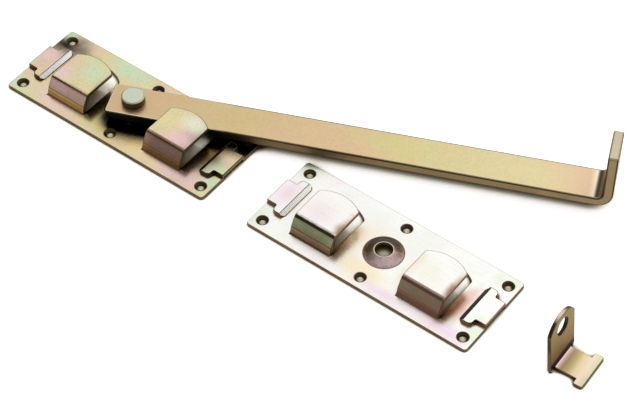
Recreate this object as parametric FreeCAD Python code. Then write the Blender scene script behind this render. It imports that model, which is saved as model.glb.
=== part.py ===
"""Kick over gate latch: two pressed hook plates, a pivoted lever and a tongue bracket.

Millimetres, +Z away from the wall that the plates are screwed to. The origin is where the
lever's pivot axis meets the back of the lever plate. The two plates lie in one line along X,
the lever is lifted half out of its hooks, and the bracket lies beyond the keep plate.
"""
import FreeCAD, Part
import math
import os

Vector = FreeCAD.Vector
UP = Vector(0, 0, 1)

# Reach of cutters past the metal that they cut, and slack for telling edges apart
beyond = 1.0
slack = 0.01

# Tongue bracket: a strip bent upright, with a T head on its tongue and a padlock hole
bracket_sheet = 2.3
bracket_width = 25.0
bracket_height = 36.2
bracket_top_rise = 7.2
bracket_lean = 5.5
bracket_bend_radius = 1.2
bracket_ear_lift = 0.3
bracket_ear_radius = 2.6
bracket_notch_width = 1.8
bracket_notch_height = 2.2
tongue_width = 17.0
tongue_length = 13.0
tongue_head_width = 24.5
tongue_head_length = 5.5
tongue_corner_radius = 1.0
padlock_hole_diameter = 11.0
padlock_hole_height = 26.8
bracket_place = (299.4, 0.6)
bracket_turn = 2.7

# Hook plates: both are the same pressing
plate_sheet = 2.3
plate_length = 150.0
plate_width = 58.0
plate_corner_radius = 2.0
keep_plate_place = (181.0, 1.2)

# Countersunk screw holes, three along each long side
screw_hole_diameter = 4.5
countersink_diameter = 7.0
screw_end_inset = 6.5
screw_side_inset = 7.0

# T pockets pressed out at both ends of a plate, open at the end and at the back
pocket_wall = 1.0
pocket_height_clearance = 0.2
pocket_neck_clearance = 0.2
pocket_head_side_clearance = 1.0
pocket_head_end_clearance = 0.5
pocket_neck_length = 7.0
pocket_outer_radius = 2.6
pocket_inner_radius = 0.9
pocket_top_chamfer = 0.4
pocket_back_slope = 2.4

# Pivot boss, a little higher than the T pockets so that the lever passes over them
boss_over_pocket = 0.3
boss_base_diameter = 22.0
boss_top_diameter = 13.2
boss_hole_diameter = 10.3
boss_foot_chamfer = 1.0
boss_top_chamfer = 0.7

# Lever: a flat bar with one end bent up
lever_width = 23.0
lever_thickness = 6.0
lever_reach = 284.5
lever_tail = 14.5
lever_leg_height = 40.1
lever_bend_radius = 4.0
lever_corner_radius = 1.6
lever_edge_chamfer = 0.5
lever_open_angle = 23.5
lever_float = 0.1

# Pivot rivet
rivet_head_diameter = 14.0
rivet_head_height = 4.7
rivet_head_chamfer = 0.6
rivet_journal_diameter = 10.0
rivet_running_clearance = 0.05
rivet_head_clearance = 0.15
rivet_seat_clearance = 0.03
rivet_tail_clearance = 0.3
rivet_tail_height = 1.9

# Hooks: tabs lanced from the plate, bent up and then over the lever
hook_distance = 73.3
hook_width = 28.2
hook_front = 19.9
hook_back = 7.5
hook_back_rise = 4.9
hook_root_radius = 1.6
hook_wall_angle = 76.0
hook_wall_length = 3.2
hook_fold_radius = 1.5
hook_shoulder_angle = 60.0
hook_crease_radius = 0.6
hook_corner_radius = 2.2
hook_headroom = 0.3
window_back = 12.6
window_back_rise = 4.9

# Heights worked out from the sizes above
pocket_rise = bracket_sheet + pocket_height_clearance
pocket_top = plate_sheet + pocket_rise
boss_rise = pocket_rise + boss_over_pocket
boss_top = plate_sheet + boss_rise
lever_bottom = boss_top + lever_float
lever_top = lever_bottom + lever_thickness
hook_underside = lever_top + hook_headroom
hook_top = hook_underside + plate_sheet
through = hook_top + bracket_height


def arc(start, middle, end):
    """Edge of the circle through three points."""
    return Part.Arc(start, middle, end).toShape()


def line(start, end):
    """Straight edge between two points."""
    return Part.makeLine(start, end)


def rounded_face(corners):
    """Face in the XY plane from corners (x, y, corner radius), in order round the outline."""
    count = len(corners)
    stops = []
    for index, (x, y, radius) in enumerate(corners):
        here = Vector(x, y, 0)
        before = Vector(*corners[index - 1][:2], 0) - here
        after = Vector(*corners[(index + 1) % count][:2], 0) - here
        before.normalize()
        after.normalize()
        half = before.getAngle(after) / 2
        inward = before + after
        inward.normalize()
        reach = radius / math.tan(half)
        middle = here + inward * (radius / math.sin(half) - radius)
        stops.append((here + before * reach, middle, here + after * reach))
    edges = []
    for index, (start, middle, end) in enumerate(stops):
        if corners[index][2] > 0:
            edges.append(arc(start, middle, end))
        edges.append(line(end, stops[(index + 1) % count][0]))
    return Part.Face(Part.Wire(edges))


def bent_strip(start, heading, thickness, width, steps):
    """Strip of even thickness in the XZ plane, extruded to its width about Y = 0.

    start is on the strip's right-hand side, seen along the heading. A step is a length to run
    straight, or (inner radius, turn in degrees), where a positive turn is to the left.
    """
    def ahead(angle):
        return Vector(math.cos(angle), 0, math.sin(angle))

    def leftward(angle):
        return Vector(-math.sin(angle), 0, math.cos(angle))

    angle = math.radians(heading)
    right = start
    left = right + leftward(angle) * thickness
    right_edges = []
    left_edges = []
    first = line(left, right)
    for step in steps:
        if isinstance(step, tuple):
            radius, turn = step[0], math.radians(step[1])
            side = math.copysign(1.0, turn)
            inner = left if side > 0 else right
            centre = inner + leftward(angle) * (side * radius)
            spots = [centre - leftward(angle + turn * part) * side for part in (0, 0.5, 1)]
            right_radius = radius + thickness if side > 0 else radius
            left_radius = radius if side > 0 else radius + thickness
            rights = [centre + (spot - centre) * right_radius for spot in spots]
            lefts = [centre + (spot - centre) * left_radius for spot in spots]
            right_edges.append(arc(*rights))
            left_edges.append(arc(*reversed(lefts)))
            right, left = rights[2], lefts[2]
            angle += turn
        else:
            right_edges.append(line(right, right + ahead(angle) * step))
            left_edges.append(line(left + ahead(angle) * step, left))
            right = right + ahead(angle) * step
            left = left + ahead(angle) * step
    outline = [first] + right_edges + [line(right, left)] + left_edges[::-1]
    face = Part.Face(Part.Wire(outline))
    face.translate(Vector(0, -width / 2, 0))
    return face.extrude(Vector(0, width, 0))


def edges_where(solid, test):
    """Edges whose box of extents passes the test."""
    return [edge for edge in solid.Edges if test(edge.BoundBox)]


def is_upright(box):
    """True for an edge that stands straight up."""
    return box.ZLength > slack and box.XLength < slack and box.YLength < slack


def arched_prism(width, front, back, rise, corner_radius, height):
    """Tall prism on a tab's plan: straight sides, and a back edge that bulges by the rise."""
    half = width / 2
    corners = [Vector(half, back, 0), Vector(-half, back, 0), Vector(-half, -front, 0),
               Vector(half, -front, 0)]
    edges = [arc(corners[0], Vector(0, back + rise, 0), corners[1])]
    edges += [line(corners[index], corners[(index + 1) % 4]) for index in (1, 2, 3)]
    prism = Part.Face(Part.Wire(edges)).extrude(UP * height)
    back_edges = edges_where(prism, lambda box: is_upright(box) and box.YMin > back - slack)
    return prism.makeFillet(corner_radius, back_edges)


def hook_root():
    """How far in front of the plate's middle a hook's root bend begins."""
    return hook_front + hook_root_radius * math.tan(math.radians(hook_wall_angle / 2))


def hook_path():
    """Steps of a hook's strip: root bend, wall, slight fold, shoulder, crease and flat top."""
    wall, shoulder = math.radians(hook_wall_angle), math.radians(hook_shoulder_angle)
    bends = (hook_root_radius + plate_sheet) * (1 - math.cos(wall))
    bends += hook_fold_radius * (math.cos(shoulder) - math.cos(wall))
    bends += hook_crease_radius * (1 - math.cos(shoulder))
    shoulder_rise = hook_underside - bends - hook_wall_length * math.sin(wall)
    flat = hook_front + hook_back + hook_back_rise
    return [(hook_root_radius, hook_wall_angle), hook_wall_length,
            (hook_fold_radius, hook_shoulder_angle - hook_wall_angle),
            shoulder_rise / math.sin(shoulder), (hook_crease_radius, -hook_shoulder_angle), flat]


def hook():
    """One hook: a tab that rises steeply in front and has a flat top with a curved back edge."""
    strip = bent_strip(Vector(-hook_root(), 0, 0), 0, plate_sheet, hook_width, hook_path())
    strip.rotate(Vector(0, 0, 0), UP, 90)
    plan = arched_prism(hook_width, hook_root(), hook_back, hook_back_rise, hook_corner_radius,
                        through)
    return strip.common(plan)


def window():
    """Hole left in the plate under a hook."""
    return arched_prism(hook_width, hook_root(), window_back, window_back_rise,
                        hook_corner_radius, plate_sheet)


def pocket_face(inset):
    """Plan of the T pocket at the +X end. The inset is 0 outside and the wall inside."""
    end = plate_length / 2 + pocket_wall
    shoulder = plate_length / 2 - pocket_neck_length - inset
    back = pocket_back() + inset
    neck = tongue_width / 2 + pocket_neck_clearance + pocket_wall - inset
    head = tongue_head_width / 2 + pocket_head_side_clearance + pocket_wall - inset
    outer = pocket_outer_radius - inset
    inner = pocket_inner_radius + inset
    return rounded_face([
        (end, -neck, 0), (end, neck, 0), (shoulder, neck, inner), (shoulder, head, outer),
        (back, head, outer), (back, -head, outer), (shoulder, -head, outer),
        (shoulder, -neck, inner)])


def pocket_back():
    """Where the raised T ends, on its side towards the hooks."""
    head_length = tongue_head_length + pocket_head_end_clearance + 2 * pocket_wall
    return plate_length / 2 - pocket_neck_length - head_length


def pocket_slope_cut():
    """Wedge that slopes the raised T down to the plate on its side towards the hooks."""
    back = pocket_back()
    corners = [Vector(back, 0, pocket_top - pocket_back_slope),
               Vector(back + pocket_back_slope + beyond, 0, pocket_top + beyond),
               Vector(back - beyond, 0, pocket_top + beyond),
               Vector(back - beyond, 0, pocket_top - pocket_back_slope)]
    corners.append(corners[0])
    wedge = Part.Face(Part.makePolygon(corners)).extrude(Vector(0, plate_width, 0))
    wedge.translate(Vector(0, -plate_width / 2, 0))
    return wedge


def pocket_raise():
    """Metal of the raised T: a small chamfer round its top and a long slope at its back."""
    solid = pocket_face(0).extrude(UP * pocket_top)
    rim = edges_where(solid, lambda box: box.ZMin > pocket_top - slack
                      and box.XMin < plate_length / 2 + pocket_wall - slack)
    solid = solid.makeChamfer(pocket_top_chamfer, rim)
    past_the_end = Part.makeBox(plate_length, plate_width, pocket_top,
                                Vector(plate_length / 2, -plate_width / 2, 0))
    return solid.cut([past_the_end, pocket_slope_cut()])


def pocket_space():
    """Hollow behind the raised T, which the bracket's tongue slides into."""
    return pocket_face(pocket_wall).extrude(UP * pocket_rise)


def both_ends(solid):
    """The solid and its copy turned half round the plate's centre."""
    twin = solid.copy()
    twin.rotate(Vector(0, 0, 0), UP, 180)
    return [solid, twin]


def boss_outside():
    """Raised boss round the pivot hole, as a solid that stands on the plate's back."""
    foot = boss_base_diameter / 2
    top = boss_top_diameter / 2
    points = [Vector(0, 0, 0), Vector(foot, 0, 0), Vector(foot, 0, plate_sheet),
              Vector(top, 0, boss_top), Vector(0, 0, boss_top), Vector(0, 0, 0)]
    return Part.Face(Part.makePolygon(points)).revolve(Vector(0, 0, 0), UP, 360)


def boss_inner_radii():
    """Radii of the hollow behind the boss at its foot and top, an even sheet in from outside."""
    slope = math.atan2(boss_rise, (boss_base_diameter - boss_top_diameter) / 2)
    shift = plate_sheet * math.tan(slope / 2)
    return boss_base_diameter / 2 - shift, boss_top_diameter / 2 - shift


def screw_spots():
    """Centres of a plate's six screw holes."""
    x = plate_length / 2 - screw_end_inset
    y = plate_width / 2 - screw_side_inset
    return [(side_x * x, side_y * y) for side_x in (-1, 0, 1) for side_y in (-1, 1)]


def screw_cut(x, y):
    """Through hole with its countersink in the front face."""
    hole = Part.makeCylinder(screw_hole_diameter / 2, plate_sheet, Vector(x, y, 0))
    depth = (countersink_diameter - screw_hole_diameter) / 2
    sink = Part.makeCone(screw_hole_diameter / 2, countersink_diameter / 2, depth,
                         Vector(x, y, plate_sheet - depth))
    return hole.fuse(sink)


def bevel_boss(plate):
    """Bevels the boss where it leaves the plate and round its top."""
    def ring(radius, height):
        return edges_where(plate, lambda box: abs(box.ZMin - height) < slack
                           and box.ZLength < slack and abs(box.XMax - radius) < slack
                           and abs(box.YMax - radius) < slack)

    foot = ring(boss_base_diameter / 2, plate_sheet)
    top = ring(boss_top_diameter / 2, boss_top)
    plate = plate.makeChamfer(boss_foot_chamfer, foot)
    return plate.makeChamfer(boss_top_chamfer, top)


def hook_plate():
    """The whole pressing: hooks, windows, T pockets, boss and screw holes."""
    half_length, half_width = plate_length / 2, plate_width / 2
    blank = rounded_face([(side_x * half_length, side_y * half_width, plate_corner_radius)
                          for side_x, side_y in ((-1, -1), (1, -1), (1, 1), (-1, 1))])
    plate = blank.extrude(UP * plate_sheet)
    plate = plate.fuse(boss_outside()).removeSplitter()
    plate = bevel_boss(plate)
    plate = plate.fuse(both_ends(pocket_raise()))
    hollows = both_ends(pocket_space()) + [Part.makeCone(*boss_inner_radii(), boss_rise)]
    hollows.append(Part.makeCylinder(boss_hole_diameter / 2, through))
    hollows += [screw_cut(x, y) for x, y in screw_spots()]
    for side in (-1, 1):
        opening = window()
        opening.translate(Vector(side * hook_distance / 2, 0, 0))
        hollows.append(opening)
    plate = plate.cut(hollows)
    hooks = []
    for side in (-1, 1):
        tab = hook()
        tab.translate(Vector(side * hook_distance / 2, 0, 0))
        hooks.append(tab)
    return plate.fuse(hooks).removeSplitter()


def lever_bar():
    """The bar along +X from its tail to the upturned end, with the pivot hole at the origin."""
    run = lever_tail + lever_reach - lever_thickness - lever_bend_radius
    leg = lever_leg_height - lever_thickness - lever_bend_radius
    bar = bent_strip(Vector(-lever_tail, 0, lever_bottom), 0, lever_thickness, lever_width,
                     [run, (lever_bend_radius, 90), leg])
    tail_edges = edges_where(bar, lambda box: is_upright(box) and box.XMax < 0)
    top = lever_bottom + lever_leg_height
    leg_edges = edges_where(bar, lambda box: box.ZMin > top - slack and box.YLength < slack)
    bar = bar.makeFillet(lever_corner_radius, tail_edges + leg_edges)
    long_edges = edges_where(bar, lambda box: box.YLength < slack
                             and abs(abs(box.YMin) - lever_width / 2) < slack
                             and box.XLength + box.ZLength > 2 * lever_corner_radius)
    bar = bar.makeChamfer(lever_edge_chamfer, long_edges)
    bore = rivet_journal_diameter / 2 + rivet_running_clearance
    return bar.cut(Part.makeCylinder(bore, through))


def lever():
    """The bar in the pose of the photograph, swung up from the latched line."""
    bar = lever_bar()
    bar.rotate(Vector(0, 0, 0), UP, lever_open_angle)
    return bar


def pivot_rivet():
    """Headed pin: head, journal in the lever, neck in the boss hole and tail behind it."""
    journal = rivet_journal_diameter / 2
    neck = boss_hole_diameter / 2 - rivet_seat_clearance
    head = rivet_head_diameter / 2
    seat = lever_top + rivet_head_clearance
    crown = seat + rivet_head_height
    tail = boss_inner_radii()[1] - rivet_tail_clearance
    points = [
        Vector(0, 0, boss_rise - rivet_tail_height), Vector(tail, 0, boss_rise - rivet_tail_height),
        Vector(tail, 0, boss_rise), Vector(neck, 0, boss_rise), Vector(neck, 0, boss_top),
        Vector(journal, 0, boss_top), Vector(journal, 0, seat), Vector(head, 0, seat),
        Vector(head, 0, crown), Vector(0, 0, crown)]
    points.append(points[0])
    pin = Part.Face(Part.makePolygon(points)).revolve(Vector(0, 0, 0), UP, 360)
    rim = edges_where(pin, lambda box: box.ZMin > crown - slack)
    return pin.makeChamfer(rivet_head_chamfer, rim)


def through_upright():
    """Start and length, along X, of a cutter that goes through the bracket's upright."""
    return -bracket_sheet - beyond, bracket_sheet + 2 * beyond


def bracket_notch(side, foot):
    """Round-ended slot between the tongue's root and the ear on one side."""
    start, length = through_upright()
    middle = side * (tongue_width + bracket_notch_width) / 2
    slot = Part.makeBox(length, bracket_notch_width, bracket_notch_height + beyond,
                        Vector(start, middle - bracket_notch_width / 2, foot - beyond))
    round_end = Part.makeCylinder(bracket_notch_width / 2, length,
                                  Vector(start, middle, foot + bracket_notch_height),
                                  Vector(1, 0, 0))
    return slot.fuse(round_end)


def bracket_upright():
    """Upright plate in the YZ plane before it leans: rounded top, padlock hole and two ears."""
    half = bracket_width / 2
    foot = bracket_ear_lift - bracket_sheet
    peak = bracket_height - bracket_sheet
    shoulder = peak - bracket_top_rise
    corners = [Vector(0, -half, shoulder), Vector(0, -half, foot), Vector(0, half, foot),
               Vector(0, half, shoulder)]
    edges = [line(corners[index], corners[index + 1]) for index in range(3)]
    edges.append(arc(corners[3], Vector(0, 0, peak), corners[0]))
    plate = Part.Face(Part.Wire(edges)).extrude(Vector(-bracket_sheet, 0, 0))
    ears = edges_where(plate, lambda box: box.XLength > slack and box.ZMax < foot + slack
                       and box.YLength < slack)
    plate = plate.makeFillet(bracket_ear_radius, ears)
    start, length = through_upright()
    hole = Part.makeCylinder(padlock_hole_diameter / 2, length,
                             Vector(start, 0, padlock_hole_height - bracket_sheet),
                             Vector(1, 0, 0))
    return plate.cut([hole, bracket_notch(-1, foot), bracket_notch(1, foot)])


def tongue_bracket():
    """The bracket where it lies: T tongue on the ground, upright leaning back from it."""
    lean = math.radians(bracket_lean)
    set_back = bracket_bend_radius * (1 - math.sin(lean)) / math.cos(lean)
    bend_end = bracket_bend_radius * math.cos(lean) - set_back * math.sin(lean)
    start, length = through_upright()
    under_bend = Part.makeBox(length, tongue_width, bracket_height,
                              Vector(start, -tongue_width / 2, bend_end - bracket_height))
    upright = bracket_upright().cut(under_bend)
    upright.rotate(Vector(0, 0, 0), Vector(0, 1, 0), -bracket_lean)
    upright.translate(UP * bracket_sheet)
    tip = tongue_length + tongue_head_length
    overlap = bracket_bend_radius
    strip = bent_strip(Vector(tip, 0, bracket_sheet), 180, bracket_sheet, tongue_width,
                       [tip - set_back, (bracket_bend_radius, bracket_lean - 90), overlap])
    half_head = tongue_head_width / 2
    head = rounded_face([
        (tongue_length, -half_head, tongue_corner_radius), (tip, -half_head, tongue_corner_radius),
        (tip, half_head, tongue_corner_radius), (tongue_length, half_head, tongue_corner_radius)])
    head = head.extrude(UP * bracket_sheet)
    bracket = upright.fuse([strip, head]).removeSplitter()
    bracket.rotate(Vector(0, 0, 0), UP, bracket_turn)
    bracket.translate(Vector(*bracket_place, 0))
    return bracket


def keep_plate():
    """The second pressing, in line with the first, which holds the lever's far part."""
    plate = hook_plate()
    plate.translate(Vector(*keep_plate_place, 0))
    return plate


def save(name, shape):
    """Writes one sub-part's file and prints what it holds."""
    shape.exportStep("parts/" + name + ".step")
    print(name, "solids", len(shape.Solids), "volume", round(shape.Volume, 2),
          "valid", shape.isValid())


os.makedirs("parts", exist_ok=True)
save("lever_plate", hook_plate())
save("pivot_rivet", pivot_rivet())
save("lever", lever())
save("keep_plate", keep_plate())
save("tongue_bracket", tongue_bracket())
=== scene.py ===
"""Looks of the kick over gate latch: plated steel pieces on a white table, in metres.

The frame holds the pieces where they lie. Each sub-assembly below takes the solids of its own
pieces, softens their edges, tells rolled faces from cut ones and dresses them in yellow
passivated zinc. The studio is a white table under a soft sky with one bright side.
"""
import logging
import math
from dataclasses import dataclass, field, fields, replace
from enum import Enum, IntEnum
from typing import Sequence

import bmesh
import bpy
from mathutils import Euler, Matrix, Vector
from mathutils.bvhtree import BVHTree


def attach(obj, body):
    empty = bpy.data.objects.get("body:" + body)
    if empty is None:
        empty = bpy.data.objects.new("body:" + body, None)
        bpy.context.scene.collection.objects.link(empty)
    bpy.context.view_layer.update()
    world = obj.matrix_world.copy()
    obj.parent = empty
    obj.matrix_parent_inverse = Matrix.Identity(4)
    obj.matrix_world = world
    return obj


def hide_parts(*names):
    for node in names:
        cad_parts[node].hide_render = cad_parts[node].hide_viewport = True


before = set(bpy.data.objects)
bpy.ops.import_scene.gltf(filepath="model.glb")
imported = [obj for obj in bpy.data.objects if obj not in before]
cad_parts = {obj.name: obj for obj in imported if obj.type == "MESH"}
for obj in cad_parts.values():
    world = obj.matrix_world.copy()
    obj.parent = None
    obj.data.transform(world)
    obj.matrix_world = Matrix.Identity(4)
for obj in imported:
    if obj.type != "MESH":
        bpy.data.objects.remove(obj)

LOG = logging.getLogger("gate_latch")
MM = 0.001
LEVER_TURN = math.radians(23.5)
BRACKET_TURN = math.radians(2.7)
Colour = tuple[float, float, float, float]
Node = bpy.types.Node
Socket = bpy.types.NodeSocket


class Surface(IntEnum):
    """Kinds of surface on a pressed piece, in the order of its material slots."""

    ROLLED = 0
    CUT = 1
    RIM = 2
    FRONT = 3
    BOSS = 4
    SINK = 5
    SLOPE = 6


class Ray(Enum):
    """Light Path outputs of the rays that see the table as plain white."""

    CAMERA = "Is Camera Ray"
    GLOSSY = "Is Glossy Ray"
    TRANSMISSION = "Is Transmission Ray"


def srgb(red: int, green: int, blue: int, share: float = 1.0) -> Colour:
    """Turns a colour of 0 to 255 as it shows on a screen into linear light.

    Args:
        red: Red part, 0 to 255.
        green: Green part, 0 to 255.
        blue: Blue part, 0 to 255.
        share: How much of the colour shows where it is laid over another one.

    Returns:
        Linear red, green and blue, and the share.
    """
    def linear(value: int) -> float:
        """Linear light of one part."""
        part = value / 255
        return part / 12.92 if part <= 0.04045 else ((part + 0.055) / 1.055) ** 2.4

    return linear(red), linear(green), linear(blue), share


class Wiring:
    """Short way to add and join the nodes of one tree."""

    def __init__(self, tree: bpy.types.NodeTree) -> None:
        """Keeps the tree and empties it."""
        self.tree = tree
        tree.nodes.clear()

    def add(self, kind: str, feeds: dict[str | int, object] | None = None,
            **values: object) -> Node:
        """Adds a node, sets its plain properties and feeds its inputs.

        Args:
            kind: Node type's identifier.
            feeds: Values or sockets for its inputs, by name or place.
            **values: Properties of the node, by name.

        Returns:
            The new node.
        """
        node = self.tree.nodes.new(kind)
        for name, value in values.items():
            setattr(node, name, value)
        for name, source in (feeds or {}).items():
            self.feed(node, name, source)
        return node

    def feed(self, node: Node, name: str | int, source: object) -> None:
        """Sets or links one input. A node stands for its first output.

        Args:
            node: Node whose input is fed.
            name: Input's name or place.
            source: A node or output socket to link, or a value to set.
        """
        if isinstance(source, Node):
            source = source.outputs[0]
        if isinstance(source, Socket):
            self.tree.links.new(source, node.inputs[name])
        else:
            node.inputs[name].default_value = source

    def maths(self, operation: str, *sources: object, clamp: bool = False) -> Socket:
        """Adds a Math node with the given operation and inputs, and gives its result."""
        feeds = dict(enumerate(sources))
        return self.add("ShaderNodeMath", feeds, operation=operation, use_clamp=clamp).outputs[0]

    def blend(self, share: object, first: object, second: object, mode: str = "MIX") -> Socket:
        """Lays a share of the second colour on the first and gives the mixed colour."""
        feeds = {0: share, 6: first, 7: second}
        return self.add("ShaderNodeMix", feeds, data_type="RGBA", blend_type=mode).outputs[2]

    def step(self, value: object, low: float, high: float) -> Socket:
        """Smooth step of a value, from 0 at low to 1 at high."""
        feeds = {"Value": value, "From Min": low, "From Max": high}
        return self.add("ShaderNodeMapRange", feeds, interpolation_type="SMOOTHSTEP").outputs[0]


class SharedEffect:
    """A shader node group that is built once and used by several finishes."""

    name: str = ""
    inputs: tuple[tuple[str, str, float], ...] = ()
    outputs: tuple[str, ...] = ()

    def group(self) -> bpy.types.NodeTree:
        """Gives the group, which is built at its first use.

        Returns:
            The shader node group.
        """
        found = bpy.data.node_groups.get(self.name)
        if found is not None:
            return found
        tree = bpy.data.node_groups.new(self.name, "ShaderNodeTree")
        for name, kind, value in self.inputs:
            socket = tree.interface.new_socket(name, in_out="INPUT", socket_type=kind)
            if kind == "NodeSocketFloat":
                socket.default_value = value
        for name in self.outputs:
            tree.interface.new_socket(name, in_out="OUTPUT", socket_type="NodeSocketFloat")
        wiring = Wiring(tree)
        start = wiring.add("NodeGroupInput")
        end = wiring.add("NodeGroupOutput")
        self.wire(wiring, start, end)
        return tree

    def wire(self, wiring: Wiring, start: Node, end: Node) -> None:
        """Joins the group's inputs to its outputs, in the group's own tree."""
        raise NotImplementedError

    def place(self, wiring: Wiring, **sources: object) -> Node:
        """Puts the group in a material, with its inputs set or linked by name."""
        return wiring.add("ShaderNodeGroup", sources, node_tree=self.group())


class Iridescence(SharedEffect):
    """Broad clouds, blotches and a fine mottle of a passivated film, each from 0 to 1."""

    name = "iridescence"
    inputs = (("Vector", "NodeSocketVector", 0.0), ("Scale", "NodeSocketFloat", 12.0),
              ("Seed", "NodeSocketFloat", 0.0))
    outputs = ("Cloud", "Blotch", "Mottle")
    # Output, times the scale, detail, swirl, and the noise values it steps between.
    layers = (("Cloud", 1.0, 1.5, 0.9, 0.34, 0.66), ("Blotch", 3.1, 3.0, 0.4, 0.3, 0.7),
              ("Mottle", 70.0, 2.0, 0.0, 0.25, 0.75))

    def wire(self, wiring: Wiring, start: Node, end: Node) -> None:
        """Joins three noises of rising scale to the outputs.

        Args:
            wiring: Helper for the group's tree.
            start: Group input node.
            end: Group output node.
        """
        for output, times, detail, swirl, low, high in self.layers:
            scale = wiring.maths("MULTIPLY", start.outputs["Scale"], times)
            noise = wiring.add("ShaderNodeTexNoise", {
                "Vector": start.outputs["Vector"], "W": start.outputs["Seed"], "Scale": scale,
                "Detail": detail, "Distortion": swirl}, noise_dimensions="4D")
            wiring.feed(end, output, wiring.step(noise.outputs["Fac"], low, high))


class RollingGrain(SharedEffect):
    """Fine streaks left by rolling, along X of the given vector, and scattered pits."""

    name = "rolling_grain"
    inputs = (("Vector", "NodeSocketVector", 0.0), ("Fineness", "NodeSocketFloat", 900.0))
    outputs = ("Streak", "Pit")
    stretch = 0.03
    detail = 3.0
    pit_edge = 0.35

    def wire(self, wiring: Wiring, start: Node, end: Node) -> None:
        """Joins a stretched noise and a cell pattern to the outputs.

        Args:
            wiring: Helper for the group's tree.
            start: Group input node.
            end: Group output node.
        """
        mapping = wiring.add("ShaderNodeMapping", {
            "Vector": start.outputs["Vector"], "Scale": (self.stretch, 1.0, 1.0)})
        streak = wiring.add("ShaderNodeTexNoise", {
            "Vector": mapping, "Scale": start.outputs["Fineness"],
            "Detail": self.detail})
        cells = wiring.add("ShaderNodeTexVoronoi", {
            "Vector": start.outputs["Vector"], "Scale": start.outputs["Fineness"]})
        wiring.feed(end, "Streak", streak.outputs["Fac"])
        wiring.feed(end, "Pit", wiring.step(cells.outputs["Distance"], 0.0, self.pit_edge))


@dataclass(frozen=True)
class Limits:
    """How far a shut-in effect reaches, the shares it steps between and its lean."""

    reach: float
    low: float
    high: float
    lean: tuple[float, float, float] = (0.0, 0.0, 0.0)


class ShutIn(SharedEffect):
    """Base of the effects that ask how far a point is shut in, seen along a lean."""

    samples = 20
    inputs = (("Reach", "NodeSocketFloat", 0.008), ("Low", "NodeSocketFloat", 0.35),
              ("High", "NodeSocketFloat", 0.85), ("Lean", "NodeSocketVector", 0.0))

    def open_share(self, wiring: Wiring, start: Node, alone: bool) -> Socket:
        """How much of the leaned view from a point is open.

        Args:
            wiring: Helper for the group's tree.
            start: Group input node.
            alone: Whether only the point's own piece counts.

        Returns:
            The open share's socket, from 0 to 1.
        """
        place = wiring.add("ShaderNodeNewGeometry")
        heading = wiring.add("ShaderNodeVectorMath", {
            0: place.outputs["Normal"], 1: start.outputs["Lean"]}, operation="ADD")
        level = wiring.add("ShaderNodeVectorMath", {
            0: heading}, operation="NORMALIZE")
        shut = wiring.add("ShaderNodeAmbientOcclusion", {
            "Normal": level,
            "Distance": start.outputs["Reach"]}, samples=self.samples, only_local=alone)
        return shut.outputs["AO"]

    def finish(self, wiring: Wiring, start: Node, end: Node, closed: Socket) -> None:
        """Steps the shut share between the group's limits and joins it to the output."""
        step = wiring.step(closed, start.outputs["Low"], start.outputs["High"])
        wiring.feed(end, self.outputs[0], step)

    def share(self, wiring: Wiring, limits: Limits) -> Socket:
        """Puts the group in a material and gives its result, from 0 to 1."""
        sources = {limit.name.title(): getattr(limits, limit.name) for limit in fields(limits)}
        return self.place(wiring, **sources).outputs[self.outputs[0]]


class CornerShade(ShutIn):
    """How far a point is shut in, in a corner or under a piece: 0 to 1. The finishes and the
    table use it to paint shade.
    """

    name = "corner_grime"
    outputs = ("Grime",)

    def wire(self, wiring: Wiring, start: Node, end: Node) -> None:
        """Joins how far a point is shut in to the output."""
        seen = self.open_share(wiring, start, False)
        self.finish(wiring, start, end, wiring.maths("SUBTRACT", 1.0, seen))


class NeighbourShade(ShutIn):
    """How far the pieces beside or above shut a point in, without its own piece: 0 to 1."""

    name = "neighbour_shade"
    outputs = ("Shade",)

    def wire(self, wiring: Wiring, start: Node, end: Node) -> None:
        """Joins what the other pieces hide to the output."""
        seen = (self.open_share(wiring, start, alone) for alone in (True, False))
        self.finish(wiring, start, end, wiring.maths("SUBTRACT", *seen))


IRIDESCENCE = Iridescence()
ROLLING_GRAIN = RollingGrain()
CORNER_SHADE = CornerShade()
NEIGHBOUR_SHADE = NeighbourShade()
Stops = tuple[tuple[float, Colour], ...]


@dataclass(frozen=True)
class StainOrShadow:
    """A soft-edged patch of another colour on a flat film, in millimetres from its start: some
    are tints of the film, others painted shadows.
    """

    along: float
    across: float
    length: float
    width: float
    colour: Colour
    ragged: float = 0.5
    outer: float = 1.5
    inner: float = 0.3


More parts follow.
